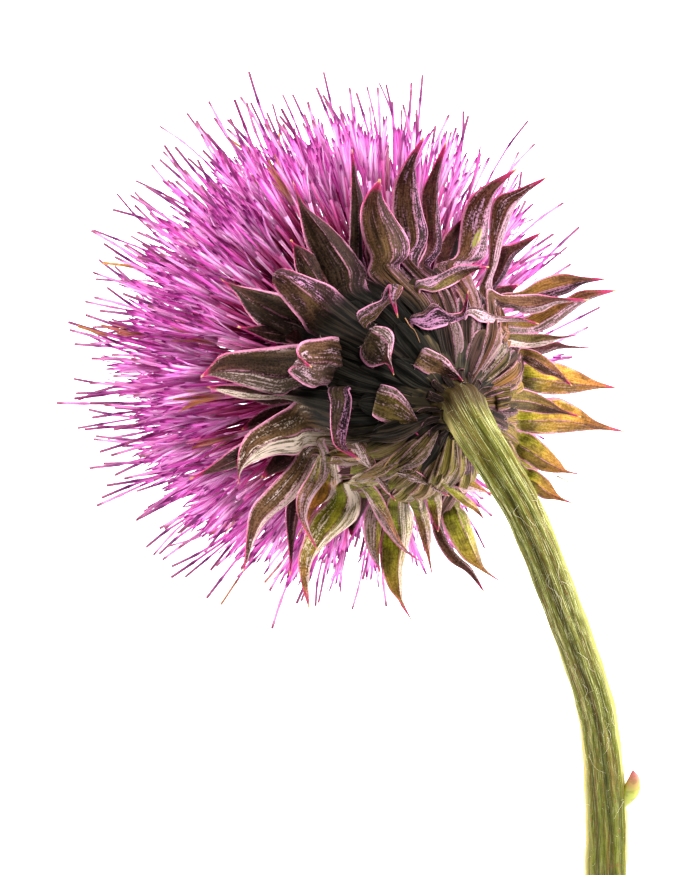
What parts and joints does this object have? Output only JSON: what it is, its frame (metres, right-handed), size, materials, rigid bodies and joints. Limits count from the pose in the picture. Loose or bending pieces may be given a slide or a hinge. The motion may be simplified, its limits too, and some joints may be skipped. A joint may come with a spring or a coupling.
{
  "type": "nodding thistle flower head on a cut stem",
  "caption": "Violet-pink thistle flower head with spiny, keeled bracts round a dark cup, lying face down under its arched, ridged stem.",
  "frame": {"origin": "on the table, below the middle of the part's box", "axes": "+Z up from the table, +X to the right and +Y up in the picture, so that the stem runs towards -Y"},
  "size_m": [0.0726, 0.1086, 0.0573],
  "materials": {
    "stem": "ridged olive-green stalk with pale ribs and white cobwebby hairs",
    "bract": "brown-olive to green keeled bracts with pink margins, pale felt and straw-tipped spines",
    "floret": "soft violet-pink tubes with darker anthers and slender styles"
  },
  "bodies": {
    "root": {"stem": "stem", "involucre": "bract", "florets": "floret"}
  },
  "joints": []
}
